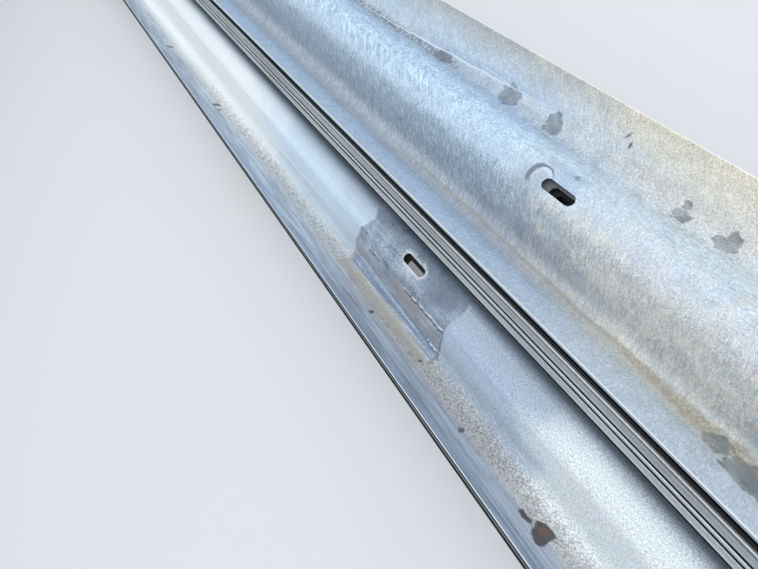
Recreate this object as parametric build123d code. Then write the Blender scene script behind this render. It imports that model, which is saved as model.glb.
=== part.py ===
from build123d import *
import math
import os

# A stack of double-corrugated highway guardrail sections on timber bearers.
# Every rail lies with its traffic face down, so its two corrugations are the feet
# and its back, with the post-bolt slots on the middle ridge, is up.
# X runs along the rails, Y across them, +Z up. The origin is on the ground, in the
# middle of the stack. All sizes are in millimetres.

# Rolled section of one rail, measured on the middle of the sheet
sheet_thickness = 2.8
section_depth = 80.3
crest_spacing = 193.6
inner_web_angle = 55.0
outer_web_angle = 61.3
outer_web_length = 91.3
bend_radius = 25.3
crest_flat = 1.0

# Length of one rail: whole bays between posts and a half splice lap at each end
post_spacing = 1905.0
bays = 4
splice_lap = 317.5

# Slots for the post bolts and for the splice bolts
post_slot_length = 64.0
post_slot_width = 19.0
splice_slot_length = 29.0
splice_slot_width = 23.0
splice_row_spacing = 216.0
slot_corner_share = 0.29

# How the rails lie in the two piles, from the bottom rail upwards
left_opened = [13.0, 9.0, 5.5]
left_slip = [0.0, 5.0, 5.0]
left_stagger = [-14.0, 9.0, 0.0]
right_opened = [13.0, 11.5, 9.5, 7.0, 4.5, 2.0, 0.0]
right_slip = [0.0, 7.6, 5.1, 8.5, 2.5, 3.4, 2.9]
right_stagger = [18.0, -12.0, 6.0, -20.0, 24.0, 14.0, 0.0]
pile_stagger = 170.0
pile_offset = 213.0
seat_clearance = 0.2

# Timber bearers, one under the middle of each bay, with a packer under the right pile
bearer_width = 140.0
bearer_height = 140.0
bearer_overhang = 58.0
packer_width = 110.0
timber_chamfer = 5.0

rail_length = bays * post_spacing + splice_lap
half_crest = crest_spacing / 2
search_steps = 24


# Middle line of half a rail, from the ridge centre out to the edge
def half_line_points(opened):
    inner = math.radians(inner_web_angle)
    outer = math.radians(outer_web_angle - opened)
    foot_in = half_crest - crest_flat / 2 - bend_radius * math.tan(inner / 2)
    foot_out = half_crest + crest_flat / 2 + bend_radius * math.tan(outer / 2)
    ridge = foot_in - section_depth / math.tan(inner)
    edge_y = foot_out + outer_web_length * math.cos(outer)
    edge_z = outer_web_length * math.sin(outer)
    return [(ridge, section_depth), (foot_in, 0), (foot_out, 0), (edge_y, edge_z)]


# Cut outline of a rail: bend each corner, then give the line its thickness
def rail_section(opened):
    right = half_line_points(opened)
    left = [(-y, z) for y, z in reversed(right)]
    line = FilletPolyline(*(left + right), radius=bend_radius)
    outline = offset(line, amount=sheet_thickness / 2, side=Side.BOTH, kind=Kind.ARC)
    return make_face(Plane.YZ * outline)


# A slot to cut: round at its ends on the rails in view, with eight sides on the others
def slot_cutter(length, width, depth, in_view):
    if in_view:
        outline = SlotOverall(length, width)
    else:
        outline = chamfer(Rectangle(length, width).vertices(), width * slot_corner_share)
    return extrude(outline, amount=depth, both=True)


# Slots on the ridge, one at every post and one in the middle of each splice
def post_slots(in_view):
    cutter = slot_cutter(post_slot_length, post_slot_width, bend_radius, in_view)
    first = -bays * post_spacing / 2
    return [Pos(first + i * post_spacing, 0, section_depth) * cutter for i in range(bays + 1)]


# Two rows of four slots at each end, one in the middle of each sloping web
def splice_slots(opened):
    ridge, foot_in, foot_out, edge = half_line_points(opened)
    inner_middle = ((ridge[0] + foot_in[0]) / 2, section_depth / 2, inner_web_angle)
    outer_middle = ((foot_out[0] + edge[0]) / 2, edge[1] / 2, opened - outer_web_angle)
    cutter = slot_cutter(splice_slot_length, splice_slot_width, bend_radius / 2, False)
    cuts = []
    for end in (-1, 1):
        for row in (-0.5, 0.5):
            x = end * bays * post_spacing / 2 + row * splice_row_spacing
            for y, z, slope in (inner_middle, outer_middle):
                cuts.append(Pos(x, y, z) * Rot(X=-slope) * cutter)
                cuts.append(Pos(x, -y, z) * Rot(X=slope) * cutter)
    return cuts


# One rail, its length centred on x = 0 and its feet at the middle line's z = 0
def make_rail(opened, in_view):
    body = extrude(rail_section(opened), amount=rail_length / 2, both=True)
    return body - (post_slots(in_view) + splice_slots(opened))


# Smallest value between low and high at which the two sections stand clear
def settle(clear_at, low, high):
    for step in range(search_steps):
        middle = (low + high) / 2
        if clear_at(middle):
            high = middle
        else:
            low = middle
    return high


# Height of a rail over the one below it, once it is slipped sideways
def nesting_rise(upper_opened, lower_opened, slip):
    upper = rail_section(upper_opened)
    lower = rail_section(lower_opened)
    return settle(
        lambda rise: (Pos(0, slip, rise) * upper).distance_to(lower) > seat_clearance,
        sheet_thickness,
        section_depth,
    )


# Places of the rails in a pile, each one settled on the rail below it
def pile_places(opened, slips):
    places = [(0.0, 0.0)]
    for i in range(1, len(opened)):
        y, z = places[-1]
        places.append((y + slips[i], z + nesting_rise(opened[i], opened[i - 1], slips[i])))
    return places


left_places = pile_places(left_opened, left_slip)
right_places = pile_places(right_opened, right_slip)

# The left pile stands on the bearers. The right pile's lowest rail lies over the right
# edge of the left pile's top rail, and the packers hold its other foot level.
left_base_z = bearer_height + sheet_thickness / 2
left_top_y, left_top_z = left_places[-1]
pile_rise = nesting_rise(right_opened[0], left_opened[-1], pile_offset)
right_base_y = left_top_y + pile_offset
right_base_z = left_base_z + left_top_z + pile_rise
packer_height = right_base_z - sheet_thickness / 2 - bearer_height

# Build every piece, then bring the middle of the whole stack to the origin
pieces = {}
for i, (y, z) in enumerate(left_places):
    place = Pos(left_stagger[i] - pile_stagger / 2, y, left_base_z + z)
    on_top = i == len(left_places) - 1
    pieces[f"left_pile_rail_{i + 1}"] = place * make_rail(left_opened[i], on_top)
for i, (y, z) in enumerate(right_places):
    place = Pos(right_stagger[i] + pile_stagger / 2, right_base_y + y, right_base_z + z)
    on_top = i == len(right_places) - 1
    pieces[f"right_pile_rail_{i + 1}"] = place * make_rail(right_opened[i], on_top)

bearer_start = -half_crest - bearer_overhang
bearer_end = right_base_y + half_crest + bearer_overhang
bearer = Box(bearer_width, bearer_end - bearer_start, bearer_height)
bearer = chamfer(bearer.edges(), timber_chamfer)
packer = Box(bearer_width, packer_width, packer_height)
packer = chamfer(packer.edges(), timber_chamfer)
for i in range(bays):
    x = (i - (bays - 1) / 2) * post_spacing
    bearer_place = Pos(x, (bearer_start + bearer_end) / 2, bearer_height / 2)
    packer_place = Pos(x, right_base_y + half_crest, bearer_height + packer_height / 2)
    pieces[f"timber_bearer_{i + 1}"] = bearer_place * bearer
    pieces[f"timber_packer_{i + 1}"] = packer_place * packer

boxes = [shape.bounding_box() for shape in pieces.values()]
middle_x = (min(box.min.X for box in boxes) + max(box.max.X for box in boxes)) / 2
middle_y = (min(box.min.Y for box in boxes) + max(box.max.Y for box in boxes)) / 2
centring = Pos(-middle_x, -middle_y, 0)

os.makedirs("parts", exist_ok=True)
for name, shape in pieces.items():
    export_step(centring * shape, f"parts/{name}.step")

print("heights in the left pile", [round(z, 1) for y, z in left_places])
print("heights in the right pile", [round(z, 1) for y, z in right_places])
print("rise between the piles", round(pile_rise, 2), "packer height", round(packer_height, 2))
print("moved to the middle by", [round(v, 3) for v in centring.position])
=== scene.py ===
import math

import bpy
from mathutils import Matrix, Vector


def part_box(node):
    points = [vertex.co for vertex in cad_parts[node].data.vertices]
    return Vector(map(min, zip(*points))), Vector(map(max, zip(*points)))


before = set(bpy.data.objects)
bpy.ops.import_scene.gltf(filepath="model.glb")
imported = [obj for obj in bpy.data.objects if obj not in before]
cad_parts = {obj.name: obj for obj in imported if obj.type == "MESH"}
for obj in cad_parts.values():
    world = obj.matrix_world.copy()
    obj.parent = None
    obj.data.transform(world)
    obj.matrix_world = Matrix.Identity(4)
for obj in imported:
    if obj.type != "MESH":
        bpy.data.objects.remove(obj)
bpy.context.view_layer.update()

# %% [markdown]
# A stack of highway guardrail sections, seen from close by. The solids come from the CAD
# model and stay as they are: long sheets of steel, rolled to a W and nested in two piles.
# What is left for Blender is how they look. Hot-dip galvanised steel is not one colour:
# it has crystals, rolling lines, dirt in its valleys and marks where plates were bolted on.
# All of that is made here with nodes that read the place on the object.

# %% [markdown]
# The camera stands over the near side and looks down along the rails. Its place and turn
# were worked out from the straight edges of the rails, which all run to one vanishing point.

# %% Camera
camera_place = (0.5028, -0.01698, 1.08559)
camera_turn = (22.3044, 30.9582, 53.8498)
camera_lens = 25.809

bpy.ops.object.camera_add(
    location=camera_place,
    rotation=[math.radians(angle) for angle in camera_turn],
)
camera = bpy.context.object
camera.data.lens = camera_lens
camera.data.sensor_width = 36.0
camera.data.clip_start = 0.01
camera.data.clip_end = 100.0
bpy.context.scene.camera = camera
print("camera looks from", [round(v, 3) for v in camera.location])

# %% [markdown]
# A plain pale floor carries the timber bearers and takes the shadow of the stack. A very
# large, soft lamp hangs over the whole length, like a studio ceiling, and two weaker ones
# stand to the sides, so that the ridges catch the light and the valleys fall off softly.

# %% Floor
floor_size = 60.0

bpy.ops.mesh.primitive_plane_add(size=floor_size, location=(0, 0, 0))
floor = bpy.context.object
floor.name = "studio_floor"
floor_material = bpy.data.materials.new("pale_floor")
floor_material.use_nodes = True
floor_shader = floor_material.node_tree.nodes["Principled BSDF"]
floor_shader.inputs["Base Color"].default_value = (0.80, 0.79, 0.77, 1)
floor_shader.inputs["Roughness"].default_value = 0.85
floor.data.materials.append(floor_material)
print("floor side", floor_size)

# %% Lamps
def softbox(name, place, target, length, width, power, colour):
    bpy.ops.object.light_add(type="AREA", location=place)
    lamp = bpy.context.object
    lamp.name = name
    lamp.data.shape = "RECTANGLE"
    lamp.data.size = length
    lamp.data.size_y = width
    lamp.data.energy = power
    lamp.data.color = colour
    lamp.visible_camera = False
    aim = Vector(target) - Vector(place)
    lamp.rotation_euler = aim.to_track_quat("-Z", "Y").to_euler()
    return lamp

ceiling_lamp = softbox("ceiling_lamp", (0, 0.6, 4.2), (0, 0, 0), 10.0, 5.0, 136, (0.96, 0.98, 1.0))
side_lamp = softbox("side_lamp", (0.8, 5.0, 3.0), (0, 0, 0.2), 7.0, 3.0, 64, (0.92, 0.96, 1.0))
fill_lamp = softbox("fill_lamp", (0.8, -5.0, 3.0), (0, 0, 0.2), 7.0, 3.0, 34, (0.97, 0.98, 1.0))
print("lamps", ceiling_lamp.data.energy, side_lamp.data.energy, fill_lamp.data.energy)

# %% [markdown]
# Bare metal shows what is around it. The world gives it a pale ceiling with a little blue
# and a duller horizon, so that a curved sheet gets a gradient. The camera sees a plain pale
# backdrop instead.

# %% World
world = bpy.data.worlds.new("studio_world")
bpy.context.scene.world = world
world.use_nodes = True
world_nodes = world.node_tree.nodes
world_links = world.node_tree.links
background = world_nodes["Background"]
direction = world_nodes.new("ShaderNodeTexCoord")
split = world_nodes.new("ShaderNodeSeparateXYZ")
height = world_nodes.new("ShaderNodeMapRange")
height.inputs["From Min"].default_value = -0.1
height.inputs["From Max"].default_value = 0.9
sky = world_nodes.new("ShaderNodeMix")
sky.data_type = "RGBA"
sky.inputs[6].default_value = (0.52, 0.53, 0.54, 1)
sky.inputs[7].default_value = (0.64, 0.72, 0.82, 1)
rays = world_nodes.new("ShaderNodeLightPath")
seen = world_nodes.new("ShaderNodeMix")
seen.data_type = "RGBA"
seen.inputs[7].default_value = (0.86, 0.86, 0.85, 1)
world_links.new(direction.outputs["Generated"], split.inputs[0])
world_links.new(split.outputs["Z"], height.inputs["Value"])
world_links.new(height.outputs[0], sky.inputs[0])
world_links.new(sky.outputs[2], seen.inputs[6])
world_links.new(rays.outputs["Is Camera Ray"], seen.inputs[0])
world_links.new(seen.outputs[2], background.inputs["Color"])
background.inputs["Strength"].default_value = 0.87
print("world nodes", len(world_nodes))

# %% [markdown]
# A node tree grows fast, so a few small helpers keep the lines short. One adds a node and
# fills its inputs, with a number or with another node's output. The others name the steps
# that come back again and again: a sum, a soft step, a band, a distance, a mix of two colours,
# a tint laid over a zone. Their lengths are in metres on the object.

# %% Helpers for nodes
def node(material, kind, inputs, **settings):
    made = material.node_tree.nodes.new(kind)
    for key, value in settings.items():
        setattr(made, key, value)
    for key, value in inputs.items():
        if isinstance(value, bpy.types.NodeSocket):
            material.node_tree.links.new(value, made.inputs[key])
        else:
            made.inputs[key].default_value = value
    return made

def maths(material, operation, a, b=0.0):
    return node(material, "ShaderNodeMath", {0: a, 1: b}, operation=operation).outputs[0]

def linear(material, value, factor, start):
    inputs = {0: value, 1: factor, 2: start}
    return node(material, "ShaderNodeMath", inputs, operation="MULTIPLY_ADD").outputs[0]

def step(material, value, low, high):
    ends = {"Value": value, "From Min": low, "From Max": high}
    return node(material, "ShaderNodeMapRange", ends, interpolation_type="SMOOTHSTEP").outputs[0]

print("helpers for numbers are ready")

# %% Helpers for zones and colours
def band(material, value, centre, half, soft):
    away = maths(material, "ABSOLUTE", maths(material, "SUBTRACT", value, centre))
    return step(material, away, half + soft, half)

def both(material, a, b):
    return maths(material, "MULTIPLY", a, b)

def either(material, a, b):
    return maths(material, "MAXIMUM", a, b)

def distance(material, x, y):
    return maths(material, "SQRT", linear(material, x, x, both(material, y, y)))

def mix(material, share, a, b):
    return node(material, "ShaderNodeMix", {0: share, 6: a, 7: b}, data_type="RGBA").outputs[2]

def painted(material, colour, zone, strength, tint):
    return mix(material, both(material, zone, strength), colour, (*tint, 1))

def mix_value(material, share, a, b):
    return node(material, "ShaderNodeMix", {0: share, 2: a, 3: b}, data_type="FLOAT").outputs[0]

def report(title, material):
    print(title, len(material.node_tree.nodes), "nodes")

print("helpers for zones and colours are ready")

# %% Helpers for patterns
def noise(material, vector, scale, detail, rough, twist=0.0):
    inputs = {
        "Vector": vector,
        "Scale": scale,
        "Detail": detail,
        "Roughness": rough,
        "Distortion": twist,
    }
    return node(material, "ShaderNodeTexNoise", inputs).outputs[0]

def streaked(material, vector, scales, detail, rough, twist=0.0):
    mapped = node(material, "ShaderNodeMapping", {"Vector": vector, "Scale": scales}).outputs[0]
    return noise(material, mapped, 1.0, detail, rough, twist)

def weighted(material, parts):
    total = 0.5
    for pattern, weight in parts:
        shifted = maths(material, "SUBTRACT", pattern, 0.5)
        total = linear(material, shifted, weight, total)
    return total

print("helpers for patterns are ready")

# %% [markdown]
# Every rail's pattern is laid out from the rail's own middle slot, because the marks on it
# belong to the slots and the ridge. The place of that slot is known from the CAD: it is the
# middle of the node's box, at its top.

# %% Where the rails lie
def rail_middle(name):
    low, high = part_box(name)
    return ((low.x + high.x) / 2, (low.y + high.y) / 2, high.z)

left_middle = rail_middle("left_pile_rail_3")
right_middle = rail_middle("right_pile_rail_7")
print("left slot", [round(v, 4) for v in left_middle])
print("right slot", [round(v, 4) for v in right_middle])

# %% [markdown]
# Hot-dip galvanised steel that has stood outdoors is no mirror. Its zinc has turned to a
# matt, chalky skin, so the coat is mostly diffuse with a little metal left in it. The skin's
# colour changes from the edge over the valley and the flank to the ridge, as rain and dust
# run down, and a few zones also hold a painted highlight or painted shade, named where they
# are listed. One colour ramp across the rail holds those zones, and fine noise breaks them up.

# %% Coat helpers
def start_zinc(name, middle):
    material = bpy.data.materials.new(name)
    material.use_nodes = True
    place = node(material, "ShaderNodeTexCoord", {}).outputs["Object"]
    offset = {"Vector": place, "Location": tuple(-value for value in middle)}
    local = node(material, "ShaderNodeMapping", offset).outputs[0]
    axes = node(material, "ShaderNodeSeparateXYZ", {"Vector": local}).outputs
    return material, local, axes[0], axes[1], axes[2]

zone_width = 0.34

def zones(material, across, stops):
    share = linear(material, across, 1 / zone_width, 0.5)
    ramp = node(material, "ShaderNodeValToRGB", {0: share})
    elements = ramp.color_ramp.elements
    for place, colour in stops[1:-1]:
        elements.new(place / zone_width + 0.5).color = (*colour, 1)
    for element, (place, colour) in ((elements[0], stops[0]), (elements[-1], stops[-1])):
        element.position = place / zone_width + 0.5
        element.color = (*colour, 1)
    return ramp.outputs[0]

def shade(material, colour, pattern, strength):
    away = maths(material, "SUBTRACT", pattern, 0.5)
    inputs = {0: colour, "Scale": linear(material, away, strength, 1.0)}
    return node(material, "ShaderNodeVectorMath", inputs, operation="SCALE").outputs[0]

def turned(material, vector, degrees):
    turn = {"Vector": vector, "Rotation": (0.0, 0.0, math.radians(degrees))}
    return node(material, "ShaderNodeMapping", turn).outputs[0]

def drifted(material, value, pattern, amount):
    away = maths(material, "SUBTRACT", pattern, 0.5)
    return linear(material, away, amount, value)

print("zones are", zone_width, "m wide")

# %% [markdown]
# Every coat ends in the same shader. Where its tone is light it is a little smoother, and the
# same tone, used as bump, gives the skin a relief of fractions of a millimetre. Real grains
# would cost millions of faces, and the sheets of the CAD stay as they are.

# %% Shader for a zinc coat
roughest, smoothest = 0.68, 0.46
bump_height = 0.0006

def finish_zinc(material, colour, tone, metal, bump, gloss=0.5):
    shader = material.node_tree.nodes["Principled BSDF"]
    links = material.node_tree.links
    links.new(colour, shader.inputs["Base Color"])
    ends = {"Value": tone, "To Min": roughest, "To Max": smoothest}
    links.new(node(material, "ShaderNodeMapRange", ends).outputs[0], shader.inputs["Roughness"])
    relief = {"Height": tone, "Strength": bump, "Distance": bump_height}
    links.new(node(material, "ShaderNodeBump", relief).outputs[0], shader.inputs["Normal"])
    shader.inputs["Metallic"].default_value = metal
    shader.inputs["Specular IOR Level"].default_value = gloss

def dress(node_name, material):
    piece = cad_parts[node_name]
    piece.data.materials.clear()
    piece.data.materials.append(material)

print("roughness from", smoothest, "to", roughest)

# %% [markdown]
# Spots are circles with a frayed edge. The slots come back at every post, so the remainder of
# the way along the rail, divided by the spacing, finds all of them at once. Their walls lie in
# the shade between the sheets and get a dark tone.

# %% Spots and the slots on the ridge
spot_blur, slot_blur = 0.0012, 0.002
post_spacing = 1.905
wall_half_length, wall_half_width = 0.034, 0.011

def spot(material, x, y, at_x, at_y, radius, ragged, longer=1.0):
    dx = maths(material, "MULTIPLY", maths(material, "SUBTRACT", x, at_x), 1 / longer)
    dy = maths(material, "SUBTRACT", y, at_y)
    away = maths(material, "ADD", distance(material, dx, dy), ragged)
    return step(material, away, radius + spot_blur, radius - spot_blur)

def slot_zone(material, along, across, half_length, half_width):
    moved = maths(material, "ADD", along, post_spacing / 2)
    wrapped = maths(material, "FLOORED_MODULO", moved, post_spacing)
    from_slot = maths(material, "SUBTRACT", wrapped, post_spacing / 2)
    away_x = maths(material, "ABSOLUTE", from_slot)
    away_y = maths(material, "ABSOLUTE", across)
    near_x = step(material, away_x, half_length + slot_blur, half_length)
    near_y = step(material, away_y, half_width + slot_blur, half_width)
    return both(material, near_x, near_y)

def slot_wall(material, along, across):
    normal = node(material, "ShaderNodeNewGeometry", {}).outputs["Normal"]
    facing = node(material, "ShaderNodeSeparateXYZ", {"Vector": normal}).outputs[2]
    upright = step(material, facing, 0.55, 0.35)
    near_slot = slot_zone(material, along, across, wall_half_length, wall_half_width)
    return both(material, near_slot, upright)

print("slots come back every", post_spacing, "m")

# %% [markdown]
# The top rail of the right pile goes from bluish at its far end to warm and pale at the near
# end, so it has two sets of zones and a soft change from one to the other. Further away along
# the rail a coarse noise mixes both sets in patches, so that no end has one tone only.

# %% Right top rail: zones of colour
right_far = [
    (-0.156, (0.48, 0.58, 0.68)),
    (-0.132, (0.45, 0.57, 0.72)),
    (-0.108, (0.37, 0.42, 0.48)),
    (-0.088, (0.42, 0.47, 0.53)),
    (-0.060, (0.36, 0.42, 0.48)),
    (-0.040, (0.42, 0.51, 0.59)),
    (-0.012, (0.50, 0.62, 0.73)),
    (0.045, (0.55, 0.71, 0.87)),
    (0.080, (0.43, 0.53, 0.64)),
    (0.100, (0.50, 0.55, 0.60)),
    # The next stop is a painted highlight along the far side of the right valley.
    (0.120, (0.80, 0.88, 0.93)),
    (0.140, (0.69, 0.71, 0.71)),
    (0.156, (0.56, 0.56, 0.54)),
]
right_near = [
    (-0.156, (0.54, 0.62, 0.71)),
    (-0.122, (0.57, 0.63, 0.69)),
    (-0.103, (0.48, 0.46, 0.42)),
    (-0.088, (0.68, 0.68, 0.64)),
    (-0.066, (0.56, 0.55, 0.51)),
    (-0.045, (0.63, 0.62, 0.57)),
    (-0.026, (0.57, 0.58, 0.57)),
    (0.000, (0.60, 0.64, 0.67)),
    (0.045, (0.63, 0.74, 0.82)),
    (0.078, (0.64, 0.70, 0.75)),
    (0.103, (0.67, 0.66, 0.63)),
    (0.122, (0.92, 0.86, 0.77)),
    (0.156, (0.90, 0.80, 0.63)),
]
zinc, local, along, across, _ = start_zinc("mottled_zinc", right_middle)
drift = streaked(zinc, local, (7.0, 16.0, 16.0), 3.0, 0.6)
moved = drifted(zinc, across, drift, 0.022)
cloud = noise(zinc, local, 11.0, 4.0, 0.62)
slanting = maths(zinc, "ADD", along, maths(zinc, "MULTIPLY", across, 0.5))
near_share = step(zinc, drifted(zinc, slanting, cloud, 0.5), -0.20, 0.16)
beyond = either(zinc, step(zinc, along, -1.9, -2.9), step(zinc, along, 0.75, 1.5))
patchy = step(zinc, noise(zinc, local, 1.6, 3.0, 0.6), 0.36, 0.64)
near_share = mix_value(zinc, beyond, near_share, patchy)
colour = mix(zinc, near_share, zones(zinc, moved, right_far), zones(zinc, moved, right_near))
print("zones far and near", len(right_far), len(right_near))

# %% [markdown]
# Seen close, the coat is full of small marks. Frosty fibres run down the slopes, faint swirls
# and waves lie on the ridge where the zinc froze, and long ripples follow its right flank.
# Each one is a noise that is turned and stretched its own way, and kept to its own zone.

# %% Right top rail: fibres, swirls, waves and ripples
slope_way = turned(zinc, local, 69.0)
fibres = streaked(zinc, slope_way, (60.0, 330.0, 60.0), 3.0, 0.7, 0.8)
fibre_zone = either(zinc, band(zinc, across, -0.062, 0.030, 0.035), 0.35)
fibre_zone = both(zinc, fibre_zone, mix_value(zinc, step(zinc, along, -0.05, 0.28), 1.0, 0.55))
colour = shade(zinc, colour, mix_value(zinc, fibre_zone, 0.5, fibres), 2.2)
swirl_field = noise(zinc, local, 16.0, 2.0, 0.5, 1.4)
swirl_wave = maths(zinc, "SINE", maths(zinc, "MULTIPLY", swirl_field, 150.0))
swirl_zone = both(zinc, band(zinc, across, 0.012, 0.030, 0.025), noise(zinc, local, 6.0, 2.0, 0.5))
swirls = linear(zinc, both(zinc, swirl_wave, swirl_zone), 0.5, 0.5)
colour = shade(zinc, colour, swirls, 0.26)
wave_way = turned(zinc, local, 38.0)
waves = streaked(zinc, wave_way, (24.0, 105.0, 105.0), 3.0, 0.62, 1.6)
wave_zone = both(zinc, band(zinc, across, 0.030, 0.028, 0.030), step(zinc, along, 0.05, -0.45))
colour = shade(zinc, colour, mix_value(zinc, wave_zone, 0.5, waves), 1.7)
ripple_way = turned(zinc, local, -14.0)
ripples = streaked(zinc, ripple_way, (38.0, 300.0, 300.0), 3.0, 0.6, 1.1)
ripple_zone = band(zinc, across, 0.058, 0.018, 0.020)
colour = shade(zinc, colour, mix_value(zinc, ripple_zone, 0.5, ripples), 1.5)
report("with fibres, swirls, waves and ripples", zinc)

# %% [markdown]
# Over all of that lies a fine speckle, which is what makes zinc look dry and matt. Towards the
# near end the coat is also mottled: cream blots of dust and cool blots of bare zinc.

# %% Right top rail: speckle and mottle
speckle = noise(zinc, local, 300.0, 3.0, 0.85)
blotch = noise(zinc, local, 42.0, 4.0, 0.7)
frost = noise(zinc, local, 640.0, 2.0, 0.8)
colour = shade(zinc, shade(zinc, colour, speckle, 1.45), blotch, 0.5)
colour = shade(zinc, colour, frost, 1.5)
mottle = noise(zinc, local, 30.0, 4.0, 0.75)
mottle_zone = both(zinc, near_share, band(zinc, across, -0.030, 0.058, 0.030))
cream = both(zinc, mottle_zone, step(zinc, mottle, 0.51, 0.63))
colour = painted(zinc, colour, cream, 0.42, (0.78, 0.74, 0.64))
cool = both(zinc, mottle_zone, step(zinc, mottle, 0.49, 0.37))
colour = painted(zinc, colour, cool, 0.36, (0.42, 0.49, 0.55))
tone = weighted(zinc, [(fibres, 0.6), (speckle, 0.8), (blotch, 0.6)])
report("right top rail so far", zinc)

# %% [markdown]
# Rain leaves its dirt in the valleys. Here it is a brown line that starts thin and breaks up
# into wide crumbs towards the near end. One noise lets its middle wander, a second one frays
# its sides, and a pale band of silt lies round it.

# %% Right top rail: brown line in the left valley
line_y = -0.100
wander = streaked(zinc, local, (12.0, 1.0, 1.0), 3.0, 0.6)
wandering = drifted(zinc, across, wander, 0.012)
widening = step(zinc, along, 0.12, 0.42)
from_line = maths(zinc, "ABSOLUTE", maths(zinc, "SUBTRACT", wandering, line_y))
line_width = linear(zinc, widening, 0.0085, 0.0035)
line_away = maths(zinc, "DIVIDE", from_line, line_width)
line_rough = drifted(zinc, line_away, noise(zinc, local, 95.0, 3.0, 0.7), 1.6)
line_share = step(zinc, line_rough, 1.25, 0.45)
line_start = step(zinc, along, -0.52, -0.10)
crumbs = step(zinc, noise(zinc, local, 190.0, 3.0, 0.75), 0.36, 0.60)
crumbs = linear(zinc, crumbs, linear(zinc, widening, 0.35, 0.5), 0.42)
brown = both(zinc, both(zinc, line_share, line_start), crumbs)
brown_colour = mix(zinc, speckle, (0.14, 0.11, 0.06, 1), (0.50, 0.44, 0.32, 1))
colour = mix(zinc, both(zinc, brown, 0.85), colour, brown_colour)
silt = both(zinc, band(zinc, wandering, line_y, 0.010, 0.022), noise(zinc, local, 70.0, 3.0, 0.7))
colour = painted(zinc, colour, silt, 0.32, (0.60, 0.56, 0.48))
report("with the brown line", zinc)

# %% [markdown]
# Dark damp spots lie in both valleys, and at the far end they join to a dotted strip. A list
# of places, each with a radius and a stretch along the rail, keeps every spot where it is.

# %% Right top rail: damp spots and the dark strip in the valleys
damp_spots = [
    (-0.470, 0.094, 0.014, 2.2),
    (-0.262, 0.100, 0.019, 1.3),
    (-0.146, 0.100, 0.018, 1.0),
    (0.122, 0.095, 0.0110, 1.2),
    (0.120, 0.107, 0.0085, 1.0),
    (0.194, 0.094, 0.0095, 1.8),
    (0.198, 0.104, 0.0085, 1.2),
    (0.366, -0.106, 0.011, 1.6),
    (0.415, -0.112, 0.016, 2.2),
]
ragged_edge = drifted(zinc, 0.0, noise(zinc, local, 70.0, 1.5, 0.5), 0.024)
damp = 0.0
for at_x, at_y, radius, longer in damp_spots:
    damp = either(zinc, damp, spot(zinc, along, across, at_x, at_y, radius, ragged_edge, longer))
damp_tone = linear(zinc, step(zinc, blotch, 0.62, 0.40), 0.26, 0.54)
colour = mix(zinc, both(zinc, damp, damp_tone), colour, (0.15, 0.17, 0.19, 1))
strip = both(zinc, band(zinc, wandering, 0.090, 0.004, 0.008), step(zinc, along, -0.36, -0.46))
strip_dots = step(zinc, noise(zinc, local, 130.0, 3.0, 0.7), 0.40, 0.56)
colour = mix(zinc, both(zinc, both(zinc, strip, strip_dots), 0.8), colour, (0.16, 0.17, 0.19, 1))
print("damp spots", len(damp_spots))

# %% [markdown]
# A few marks have a place of their own. The first is the print of a round washer beside the
# middle slot: a dark ring, wider on its left, with a light one inside. The sheet is a little
# shaded round it, bluish on one side and grey on the other, and a grey painted shade lies on
# the left flank beside the slot.

# %% Right top rail: print of the washer
washer_x, washer_y, washer_radius = -0.040, 0.002, 0.0195
dx = maths(zinc, "SUBTRACT", along, washer_x)
dy = maths(zinc, "SUBTRACT", across, washer_y)
ring_away = drifted(zinc, distance(zinc, dx, dy), blotch, 0.006)
ring_side = step(zinc, maths(zinc, "SUBTRACT", dy, dx), -0.016, 0.012)
ring_left = step(zinc, maths(zinc, "ADD", dx, both(zinc, dy, 0.4)), 0.004, -0.012)
ring_half = linear(zinc, ring_left, 0.0032, 0.0011)
ring_gap = maths(zinc, "ABSOLUTE", maths(zinc, "SUBTRACT", ring_away, washer_radius))
ring_gap = maths(zinc, "DIVIDE", ring_gap, ring_half)
ring = both(zinc, step(zinc, ring_gap, 1.7, 0.8), ring_side)
ring_light = both(zinc, band(zinc, ring_away, washer_radius - 0.0045, 0.0012, 0.0025), ring_side)
bluish = band(zinc, across, 0.024, 0.010, 0.014)
bluish = both(zinc, bluish, band(zinc, along, -0.018, 0.026, 0.026))
colour = painted(zinc, colour, bluish, 0.45, (0.36, 0.46, 0.62))
shaded = band(zinc, across, -0.012, 0.014, 0.016)
shaded = both(zinc, shaded, band(zinc, along, -0.052, 0.016, 0.030))
colour = painted(zinc, colour, shaded, 0.32, (0.30, 0.33, 0.37))
# Painted shade: a grey band darkens the left flank beside the slot.
flank = both(zinc, band(zinc, across, -0.085, 0.014, 0.020), band(zinc, along, 0.0, 0.09, 0.12))
colour = painted(zinc, colour, flank, 0.30, (0.30, 0.31, 0.33))
colour = painted(zinc, colour, ring, 0.80, (0.12, 0.14, 0.18))
colour = painted(zinc, colour, ring_light, 0.45, (0.82, 0.88, 0.94))
report("with the washer's print", zinc)

# %% [markdown]
# A small crescent beside the print is one spot less another, and the two dark ticks on the
# right flange are spots that were turned and drawn out.

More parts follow.
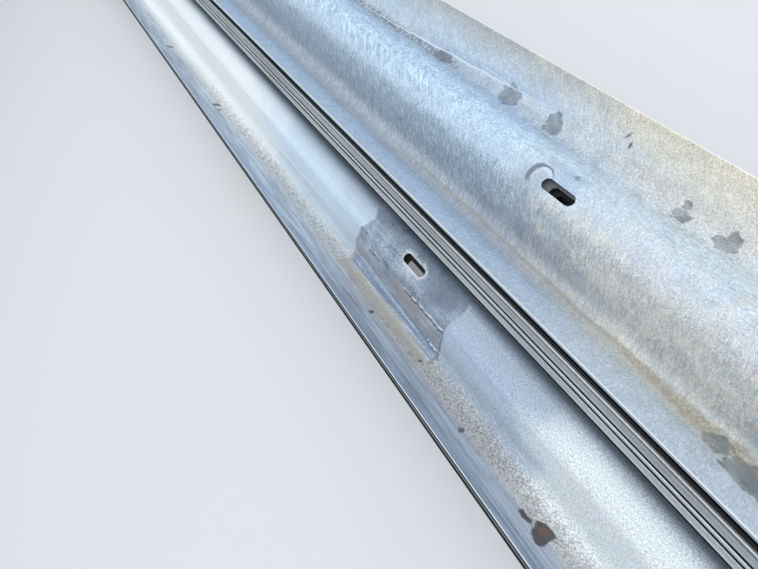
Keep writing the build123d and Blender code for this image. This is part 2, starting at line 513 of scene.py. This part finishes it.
# %% Right top rail: crescent and ticks
crescent = spot(zinc, along, across, 0.002, 0.037, 0.0066, 0.0)
crescent_hole = spot(zinc, along, across, 0.0050, 0.0395, 0.0050, 0.0)
crescent = both(zinc, crescent, maths(zinc, "SUBTRACT", 1.0, crescent_hole))
colour = painted(zinc, colour, crescent, 0.85, (0.22, 0.26, 0.32))
ticks = [(-0.006, 0.135, 30.0, 0.0011, 5.0), (0.001, 0.128, 58.0, 0.0019, 2.2)]
tick = 0.0
for at_x, at_y, degrees, radius, longer in ticks:
    lean, rise = math.cos(math.radians(degrees)), math.sin(math.radians(degrees))
    off_x = maths(zinc, "SUBTRACT", along, at_x)
    off_y = maths(zinc, "SUBTRACT", across, at_y)
    tick_x = maths(zinc, "ADD", both(zinc, off_x, lean), both(zinc, off_y, rise))
    tick_y = maths(zinc, "SUBTRACT", both(zinc, off_y, lean), both(zinc, off_x, rise))
    tick = either(zinc, tick, spot(zinc, tick_x, tick_y, 0.0, 0.0, radius, 0.0, longer))
colour = painted(zinc, colour, tick, 0.85, (0.06, 0.06, 0.07))
print("ticks", len(ticks))

# %% [markdown]
# Along the right flange runs a thin pale line with a bluish streak beside it. Both lie a
# little askew to the rail, so their place is measured with a slope.

# %% Right top rail: pale line and bluish streak
slanted = maths(zinc, "ADD", wandering, maths(zinc, "MULTIPLY", along, -0.05))
pale_reach = both(zinc, step(zinc, along, -0.10, -0.34), step(zinc, along, -0.85, -0.55))
streak_noise = streaked(zinc, local, (9.0, 320.0, 320.0), 3.0, 0.7)
streaky = step(zinc, streak_noise, 0.42, 0.60)
blue_streak = band(zinc, slanted, 0.1320, 0.0030, 0.0060)
blue_streak = both(zinc, blue_streak, both(zinc, pale_reach, streaky))
colour = painted(zinc, colour, blue_streak, 0.6, (0.45, 0.58, 0.74))
pale_line = both(zinc, band(zinc, slanted, 0.1275, 0.0006, 0.0012), pale_reach)
colour = painted(zinc, colour, pale_line, 0.75, (0.97, 0.98, 0.98))
report("with the pale line", zinc)

# %% [markdown]
# A sheet's edges carry a painted highlight, and the cut face below one is painted dark grey.
# The relief takes the fine tone and sinks the washer's print and the damp spots a little.

# %% Right top rail: bright edges and finish
# Painted highlights on both edges; the cut face below the left one is painted dark grey.
right_edge_highlight = step(zinc, across, 0.1556, 0.1562)
colour = painted(zinc, colour, right_edge_highlight, 0.75, (0.92, 0.90, 0.86))
left_edge_highlight = band(zinc, across, -0.1540, 0.0008, 0.0006)
colour = painted(zinc, colour, left_edge_highlight, 0.85, (0.97, 0.97, 0.96))
cut_left = step(zinc, across, -0.1550, -0.1556)
colour = painted(zinc, colour, cut_left, 0.85, (0.22, 0.24, 0.26))
colour = mix(zinc, slot_wall(zinc, along, across), colour, (0.05, 0.05, 0.05, 1))
relief = maths(zinc, "SUBTRACT", tone, both(zinc, ring, 1.5))
relief = maths(zinc, "SUBTRACT", relief, both(zinc, damp, 0.2))
finish_zinc(zinc, colour, relief, 0.14, 0.30)
dress("right_pile_rail_7", zinc)
report("right top rail has", zinc)

# %% [markdown]
# The top rail of the left pile is smoother. At its far end the ridge is painted almost white,
# as a painted sheen, and at the near end it is painted lighter, as painted light. Towards the
# right pile both sets of zones darken into a painted shadow of that pile. Here too a coarse
# noise mixes both sets of zones in patches where the rail runs on.

# %% Left top rail: zones of colour
left_far = [
    (-0.160, (0.34, 0.42, 0.53)),
    (-0.138, (0.49, 0.55, 0.62)),
    (-0.118, (0.62, 0.65, 0.66)),
    (-0.100, (0.62, 0.69, 0.73)),
    (-0.055, (0.70, 0.82, 0.92)),
    (-0.025, (0.70, 0.83, 0.94)),
    (0.002, (0.61, 0.72, 0.82)),
    # The last stops darken towards the right pile: a painted shadow of that pile.
    (0.018, (0.44, 0.52, 0.60)),
    (0.034, (0.22, 0.27, 0.32)),
]
left_near = [
    (-0.160, (0.26, 0.32, 0.41)),
    (-0.138, (0.43, 0.47, 0.54)),
    (-0.121, (0.60, 0.58, 0.56)),
    (-0.104, (0.39, 0.43, 0.48)),
    (-0.075, (0.51, 0.59, 0.67)),
    (-0.045, (0.56, 0.66, 0.78)),
    (-0.015, (0.45, 0.54, 0.65)),
    # The last stops darken towards the right pile: a painted shadow of that pile.
    (0.016, (0.43, 0.50, 0.58)),
    (0.034, (0.24, 0.28, 0.33)),
]
plate, local, along, across, _ = start_zinc("rolled_zinc", left_middle)
cloud = noise(plate, local, 9.0, 3.0, 0.6)
drift = streaked(plate, local, (5.0, 20.0, 20.0), 3.0, 0.6)
moved = drifted(plate, across, drift, 0.010)
near_share = step(plate, drifted(plate, along, cloud, 0.4), -0.38, 0.05)
beyond = either(plate, step(plate, along, -2.5, -3.3), step(plate, along, 0.75, 1.5))
patchy = step(plate, noise(plate, local, 1.6, 3.0, 0.6), 0.36, 0.64)
near_share = mix_value(plate, beyond, near_share, patchy)
colour = mix(plate, near_share, zones(plate, moved, left_far), zones(plate, moved, left_near))
# The ridge and the side next to the right pile are painted lighter: a painted sheen at the far end,
# painted light at the near end.
lightened_zone = both(plate, step(plate, moved, -0.136, -0.100), step(plate, moved, 0.044, -0.004))
lightened_zone = both(plate, lightened_zone, mix_value(plate, beyond, 1.0, patchy))
far_sheen = both(plate, lightened_zone, step(plate, drifted(plate, along, cloud, 0.5), -0.45, -0.90))
colour = painted(plate, colour, far_sheen, 0.92, (0.98, 0.99, 0.98))
near_painted_light = both(plate, lightened_zone, step(plate, drifted(plate, along, cloud, 0.3), 0.32, 0.46))
colour = painted(plate, colour, near_painted_light, 0.92, (0.87, 0.91, 0.91))
print("zones far and near", len(left_far), len(left_near))

# %% [markdown]
# Rolling leaves long, thin lines in a sheet, and the zinc flows a little as it drains off.
# Noises that are stretched far along the rail give those lines, and fine ones the frost.

# %% Left top rail: rolling lines and speckle
rolling = streaked(plate, local, (2.5, 420.0, 420.0), 3.0, 0.6)
colour = shade(plate, colour, rolling, 0.30)
flow = streaked(plate, local, (7.0, 120.0, 120.0), 4.0, 0.7, 0.5)
outer_side = step(plate, across, -0.120, -0.138)
colour = shade(plate, colour, mix_value(plate, outer_side, 0.5, flow), 2.0)
threads = streaked(plate, local, (4.0, 380.0, 380.0), 2.0, 0.7, 0.4)
colour = shade(plate, colour, mix_value(plate, outer_side, 0.5, threads), 0.8)
speckle = noise(plate, local, 330.0, 3.0, 0.85)
speckle_share = both(plate, step(plate, along, -0.60, 0.10), step(plate, across, -0.135, -0.115))
speckle_share = linear(plate, speckle_share, 0.75, 0.25)
frost = noise(plate, local, 680.0, 2.0, 0.85)
colour = shade(plate, colour, mix_value(plate, speckle_share, 0.5, speckle), 1.8)
frost_share = mix_value(plate, step(plate, along, 0.05, 0.45), 0.4, 1.0)
frost_share = both(plate, frost_share, speckle_share)
sharp_frost = step(plate, frost, 0.42, 0.58)
colour = shade(plate, colour, mix_value(plate, frost_share, 0.5, sharp_frost), 0.50)
tone = weighted(plate, [(rolling, 0.5), (speckle, 0.6), (cloud, 0.5)])
report("left top rail so far", plate)

# %% [markdown]
# A plate was once bolted round this rail's slot, and it kept a darker patch about 300 mm long.
# The ends of the patch curve over the ridge, and a coarse noise lets them wander. Inside, the
# patch has brown and tan stains on its left side, and it is darker on the right.

# %% Left top rail: outline of the bolted plate
edge_noise = maths(plate, "SUBTRACT", noise(plate, local, 28.0, 3.0, 0.6), 0.5)
edge_wander = maths(plate, "MULTIPLY", edge_noise, 0.028)
sideways = maths(plate, "ABSOLUTE", across)
slant = step(plate, sideways, 0.0, 0.080)
far_end = maths(plate, "ADD", along, both(plate, slant, 0.046))
far_share = step(plate, maths(plate, "ADD", far_end, edge_wander), -0.158, -0.150)
near_end = maths(plate, "ADD", along, both(plate, slant, 0.018))
near_share = step(plate, maths(plate, "ADD", near_end, edge_wander), 0.149, 0.143)
wide_share = step(plate, sideways, 0.131, 0.124)
patch = both(plate, both(plate, far_share, near_share), wide_share)
patch_noise = noise(plate, local, 26.0, 4.0, 0.68)
patch_lines = streaked(plate, local, (6.0, 150.0, 150.0), 3.0, 0.6)
patch_tone = weighted(plate, [(patch_noise, 1.5), (patch_lines, 0.9), (speckle, 1.8), (frost, 1.2)])
patch_colour = mix(plate, patch_tone, (0.08, 0.12, 0.18, 1), (0.66, 0.74, 0.84, 1))
patch_right = both(plate, step(plate, across, -0.012, 0.018), 0.60)
patch_near = band(plate, across, 0.004, 0.014, 0.030)
patch_near = both(plate, patch_near, band(plate, along, 0.086, 0.026, 0.040))
patch_side = either(plate, patch_right, both(plate, patch_near, 0.70))
patch_side = both(plate, patch_side, mix_value(plate, patch_lines, 0.7, 1.3))
patch_colour = mix(plate, patch_side, patch_colour, (0.12, 0.16, 0.21, 1))
report("with the outline of the patch", plate)

# %% Left top rail: brown, tan and blue stains in the patch
brown_noise = streaked(plate, local, (8.0, 26.0, 26.0), 3.0, 0.6)
brown_zone = band(plate, across, -0.066, 0.010, 0.012)
brown_share = both(plate, step(plate, brown_noise, 0.38, 0.58), brown_zone)
patch_colour = painted(plate, patch_colour, brown_share, 0.75, (0.40, 0.35, 0.32))
tan_zone = band(plate, drifted(plate, across, patch_noise, 0.016), -0.117, 0.006, 0.010)
patch_colour = painted(plate, patch_colour, tan_zone, 0.75, (0.60, 0.53, 0.43))
blue_zone = band(plate, across, -0.095, 0.008, 0.010)
blue_lines = step(plate, patch_lines, 0.62, 0.42)
blue_share = both(plate, both(plate, blue_zone, blue_lines), 0.8)
patch_colour = mix(plate, blue_share, patch_colour, (0.16, 0.24, 0.36, 1))
rim_share = band(plate, far_end, -0.152, 0.004, 0.010)
rim_share = both(plate, rim_share, step(plate, sideways, 0.02, 0.05))
patch_colour = painted(plate, patch_colour, rim_share, 0.5, (0.42, 0.36, 0.32))
colour = mix(plate, both(plate, patch, 0.95), colour, patch_colour)
near_line = band(plate, maths(plate, "ADD", near_end, edge_wander), 0.1480, 0.0012, 0.0026)
near_line = both(plate, near_line, band(plate, across, -0.082, 0.026, 0.010))
colour = painted(plate, colour, near_line, 0.65, (0.13, 0.11, 0.10))
report("with the stains in the patch", plate)

# %% [markdown]
# Where the plate moved it rubbed the zinc bright, in two lines that are broken into dashes,
# one of them with a dark score beside it. Round the slot a pale ring was left.

# %% Left top rail: rubbed lines and pale ring round the slot
line_wander = streaked(plate, local, (48.0, 1.0, 1.0), 3.0, 0.7)
line_place = drifted(plate, across, line_wander, 0.014)
line_place = maths(plate, "ADD", line_place, maths(plate, "MULTIPLY", along, -0.02))
upper_reach = band(plate, along, -0.116, 0.018, 0.006)
upper_reach = either(plate, step(plate, along, -0.004, 0.006), upper_reach)
rubbed = both(plate, band(plate, line_place, -0.0465, 0.0016, 0.0018), upper_reach)
rubbed_low = band(plate, line_place, -0.0870, 0.0012, 0.0016)
rubbed_low = both(plate, rubbed_low, step(plate, along, 0.075, 0.095))
dash_noise = streaked(plate, local, (105.0, 60.0, 60.0), 2.0, 0.5)
dash = step(plate, dash_noise, 0.42, 0.52)
rubbed = both(plate, patch, both(plate, either(plate, rubbed, rubbed_low), dash))
colour = painted(plate, colour, rubbed, 0.85, (0.88, 0.92, 0.96))
scored = band(plate, line_place, -0.0502, 0.0012, 0.0016)
scored = both(plate, both(plate, patch, upper_reach), scored)
colour = painted(plate, colour, scored, 0.75, (0.06, 0.07, 0.10))
slot_half_straight = 0.0225
slot_end = maths(plate, "SUBTRACT", maths(plate, "ABSOLUTE", along), slot_half_straight)
slot_end = maths(plate, "MAXIMUM", slot_end, 0.0)
halo_noise = noise(plate, local, 75.0, 3.0, 0.75)
slot_edge = drifted(plate, distance(plate, slot_end, across), halo_noise, 0.030)
halo = step(plate, slot_edge, 0.0190, 0.0100)
halo = both(plate, halo, step(plate, patch_noise, 0.20, 0.55))
colour = painted(plate, colour, halo, 0.88, (0.76, 0.76, 0.76))
colour = mix(plate, slot_wall(plate, along, across), colour, (0.06, 0.06, 0.06, 1))
report("with the rubbed lines and the ring", plate)

# %% [markdown]
# Sand lies along the left valley as a strip with a sharp outer side. Its grains are a fine
# noise that is pushed to light and dark, with rusty flecks towards the near end.

# %% Left top rail: sand
sand_zone = both(plate, step(plate, moved, -0.133, -0.125), step(plate, moved, -0.082, -0.118))
sand_share = step(plate, along, -0.50, -0.05)
coarse_sand = noise(plate, local, 190.0, 3.0, 0.9)
fine_sand = noise(plate, local, 330.0, 3.0, 0.9)
sand_grain = mix_value(plate, sand_share, coarse_sand, fine_sand)
sand_tone = step(plate, sand_grain, 0.42, 0.58)
sand_colour = mix(plate, sand_tone, (0.13, 0.12, 0.11, 1), (0.84, 0.82, 0.78, 1))
sand_cover = both(plate, sand_zone, step(plate, noise(plate, local, 60.0, 4.0, 0.8), 0.22, 0.72))
sand_cover = both(plate, sand_cover, step(plate, along, -1.60, -0.75))
outside_patch = maths(plate, "SUBTRACT", 1.0, both(plate, patch, 0.7))
colour = mix(plate, both(plate, both(plate, sand_cover, 0.85), outside_patch), colour, sand_colour)
fleck = step(plate, noise(plate, local, 170.0, 2.0, 0.6), 0.60, 0.64)
fleck_zone = both(plate, band(plate, moved, -0.116, 0.012, 0.014), step(plate, along, 0.10, 0.20))
fleck_share = both(plate, both(plate, fleck, fleck_zone), 0.60)
colour = mix(plate, fleck_share, colour, (0.26, 0.20, 0.15, 1))
report("with the sand", plate)

# %% [markdown]
# A few larger crumbs and a rusty clod lie where they fell. They are spots with frayed edges,
# and the clod is two of them, with a redder one for its heart.

# %% Left top rail: crumbs and the clod
crumb_spots = [
    (-1.456, -0.138, 0.007),
    (-0.985, -0.131, 0.007),
    (-0.951, -0.133, 0.005),
    (-0.026, -0.133, 0.0040),
    (0.278, -0.132, 0.0036),
    (0.120, -0.120, 0.0026),
]
crumb_edge = maths(plate, "MULTIPLY", edge_noise, 0.010)
crumbs = 0.0
for at_x, at_y, radius in crumb_spots:
    crumbs = either(plate, crumbs, spot(plate, along, across, at_x, at_y, radius, crumb_edge, 1.4))
colour = painted(plate, colour, crumbs, 0.8, (0.10, 0.09, 0.08))
clod_edge = maths(plate, "MULTIPLY", edge_noise, 0.022)
clod = either(
    plate,
    spot(plate, along, across, 0.476, -0.129, 0.0105, clod_edge, 1.7),
    spot(plate, along, across, 0.448, -0.133, 0.0035, clod_edge, 3.4),
)
clod_heart = spot(plate, along, across, 0.474, -0.128, 0.0045, clod_edge, 1.7)
colour = painted(plate, colour, clod, 0.9, (0.055, 0.042, 0.036))
colour = painted(plate, colour, clod_heart, 0.8, (0.18, 0.095, 0.065))
print("crumbs", len(crumb_spots))

# %% [markdown]
# A thin bright line runs along the flank at the far end, a painted sheen, and the outer edge
# carries a painted highlight. In the relief the sand and the crumbs stand up and the patch lies a
# little low.

# %% Left top rail: thin bright line, edge and finish
sheen_place = maths(plate, "ADD", across, maths(plate, "MULTIPLY", along, -0.0325))
sheen_line = band(plate, sheen_place, -0.0485, 0.0010, 0.0018)
sheen_line = both(plate, sheen_line, step(plate, along, -0.20, -0.45))
colour = painted(plate, colour, sheen_line, 0.8, (1.0, 1.0, 0.98))
# Painted highlight along the outer edge.
edge = step(plate, across, -0.1605, -0.1612)
colour = painted(plate, colour, edge, 0.75, (0.80, 0.80, 0.79))
relief = maths(plate, "ADD", tone, both(plate, rubbed, 0.8))
relief = maths(plate, "ADD", relief, both(plate, sand_cover, both(plate, sand_tone, 0.6)))
relief = maths(plate, "ADD", relief, both(plate, either(plate, crumbs, clod), 2.0))
relief = maths(plate, "SUBTRACT", relief, both(plate, patch, 0.4))
finish_zinc(plate, colour, relief, 0.14, 0.28)
dress("left_pile_rail_3", plate)
report("left top rail has", plate)

# %% [markdown]
# Of the rails below only the rims show: the cut edge, a strip of web, and the dark of a gap.
# Where two sheets lie close their strips read as one light band, and where a sheet stands
# off there is a black line. These tones are painted light and shade: the light edges and webs
# are painted light, and the black edges, lines and gaps are painted shadow. Each of these rails
# gets its own copy of one coat, measured down from its own rim. Each row gives the tone of the
# cut edge, how far a black line reaches down from the rim, the tone of the web, and the depth
# at which the web turns black.

# %% Rails below: how each rim looks
# Painted light and shade: light tones stand for lit edges and webs, near-black ones for shadow.
rims = {
    "right_pile_rail_6": (0.03, 0.0, 0.02, 0.0004),
    "right_pile_rail_5": (0.85, 0.0, 0.60, 0.0026),
    "right_pile_rail_4": (0.46, 0.0, 0.80, 0.0300),
    "right_pile_rail_3": (0.72, 0.0030, 0.96, 0.0300),
    "right_pile_rail_2": (0.55, 0.0026, 0.92, 0.0300),
    "right_pile_rail_1": (0.02, 0.0, 0.94, 0.0300),
    "left_pile_rail_2": (0.24, 0.0, 0.01, 0.0004),
    "left_pile_rail_1": (0.04, 0.0, 0.08, 0.0100),
}

def rim_height(name):
    points = [vertex.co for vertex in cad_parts[name].data.vertices]
    outermost = min(point.y for point in points)
    return max(point.z for point in points if point.y < outermost + 0.004)

def rim_distance(name, middle_y):
    return middle_y - min(vertex.co.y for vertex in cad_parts[name].data.vertices)

def grey(tone):
    return (tone * 0.97, tone, tone * 1.02, 1)

print("rims to colour", len(rims))

# %% [markdown]
# The gaps between the sheets are thin and the soft lamps reach into them, so the coat itself
# is painted dark there and has almost no gloss. That goes down about a centimetre from the
# rim. Below it the plain coat comes back, so from the side the sheets are zinc again.

# %% Rails below: one coat for each
line_tone, gap_tone = 0.01, 0.008
cut_width = 0.0026
painted_depth, plain_depth = 0.011, 0.018
shade_half_length, shade_half_width = 0.050, 0.022

def stacked_coat(name, edge_tone, line_reach, web_tone, light_reach):
    x, y, _ = rail_middle(name)
    coat, local, along, across, up = start_zinc("stacked_" + name, (x, y, rim_height(name)))
    streaks = streaked(coat, local, (3.0, 200.0, 200.0), 3.0, 0.6)
    stains = streaked(coat, local, (5.0, 30.0, 60.0), 4.0, 0.65)
    speckle = noise(coat, local, 300.0, 2.0, 0.8)
    coat_tone = weighted(coat, [(streaks, 0.8), (stains, 0.7), (speckle, 0.6)])
    coat_colour = mix(coat, coat_tone, (0.40, 0.44, 0.48, 1), (0.80, 0.84, 0.88, 1))
    depth = maths(coat, "MULTIPLY", drifted(coat, up, streaks, 0.0015), -1.0)
    in_gap = step(coat, depth, light_reach, light_reach + 0.002)
    rim_colour = mix(coat, in_gap, grey(web_tone), grey(gap_tone))
    if line_reach > 0:
        on_line = step(coat, depth, line_reach + 0.0006, line_reach)
        rim_colour = mix(coat, on_line, rim_colour, grey(line_tone))
    outward = maths(coat, "ABSOLUTE", across)
    half_width = rim_distance(name, y)
    cut_share = step(coat, outward, half_width - cut_width, half_width - cut_width + 0.0004)
    rim_colour = mix(coat, cut_share, rim_colour, grey(edge_tone))
    rim_colour = shade(coat, rim_colour, coat_tone, 0.7)
    at_rim = step(coat, across, -0.130, -0.140)
    at_rim = both(coat, at_rim, step(coat, depth, plain_depth, painted_depth))
    coat_colour = mix(coat, at_rim, coat_colour, rim_colour)
    # Painted shade: round each slot the coat is painted almost black, on the sixth right rail a
    # little less.
    slot_shade = slot_zone(coat, along, across, shade_half_length, shade_half_width)
    slot_shade_tone = 0.20 if name.endswith("rail_6") else 0.02
    coat_colour = mix(coat, both(coat, slot_shade, 0.97), coat_colour, grey(slot_shade_tone))
    finish_zinc(coat, coat_colour, coat_tone, 0.0, 0.25, 0.06)
    dress(name, coat)

for name, looks in rims.items():
    stacked_coat(name, *looks)
print("rails below", len(rims))

# %% [markdown]
# The bearers are sawn timbers, grey on the outside. Year rings are circles round the middle
# of the tree, the pith, so one distance gives arcs on the end grain and long lines on the
# sides. The bearers lie one bay apart, so the remainder along the stack serves all four.

# %% Timber: year rings and fibres
timber = bpy.data.materials.new("weathered_timber")
timber.use_nodes = True
place = node(timber, "ShaderNodeTexCoord", {}).outputs["Object"]
axes = node(timber, "ShaderNodeSeparateXYZ", {"Vector": place}).outputs
pith_x, pith_z = 0.9, 0.04
rings_per_metre = 190.0
wrapped = maths(timber, "FLOORED_MODULO", axes[0], post_spacing)
from_middle = maths(timber, "SUBTRACT", wrapped, pith_x)
from_pith = maths(timber, "SUBTRACT", axes[2], pith_z)
bend = streaked(timber, place, (9.0, 1.2, 9.0), 3.0, 0.5)
ring_radius = linear(timber, bend, 0.03, distance(timber, from_middle, from_pith))
rings = maths(timber, "FRACT", maths(timber, "MULTIPLY", ring_radius, rings_per_metre))
fibres = streaked(timber, place, (420.0, 7.0, 420.0), 4.0, 0.65)
weather = noise(timber, place, 5.0, 4.0, 0.6)
grain = weighted(timber, [(rings, 0.45), (fibres, 1.1), (weather, 0.9)])
report("timber so far", timber)

# %% Timber: colour and relief
timber_colour = mix(timber, grain, (0.10, 0.065, 0.04, 1), (0.44, 0.32, 0.22, 1))
timber_colour = mix(timber, step(timber, weather, 0.45, 0.75), timber_colour, (0.30, 0.27, 0.24, 1))
timber_shader = timber.node_tree.nodes["Principled BSDF"]
timber.node_tree.links.new(timber_colour, timber_shader.inputs["Base Color"])
timber_bump = node(timber, "ShaderNodeBump", {"Height": grain, "Strength": 0.6, "Distance": 0.002})
timber.node_tree.links.new(timber_bump.outputs[0], timber_shader.inputs["Normal"])
timber_shader.inputs["Roughness"].default_value = 0.82
for number in range(1, 5):
    dress(f"timber_bearer_{number}", timber)
    dress(f"timber_packer_{number}", timber)
report("timber has", timber)

# %% [markdown]
# The picture is shown with the plain Standard view, so that a colour comes out about as it
# was written.

# %% View
bpy.context.scene.view_settings.view_transform = "Standard"
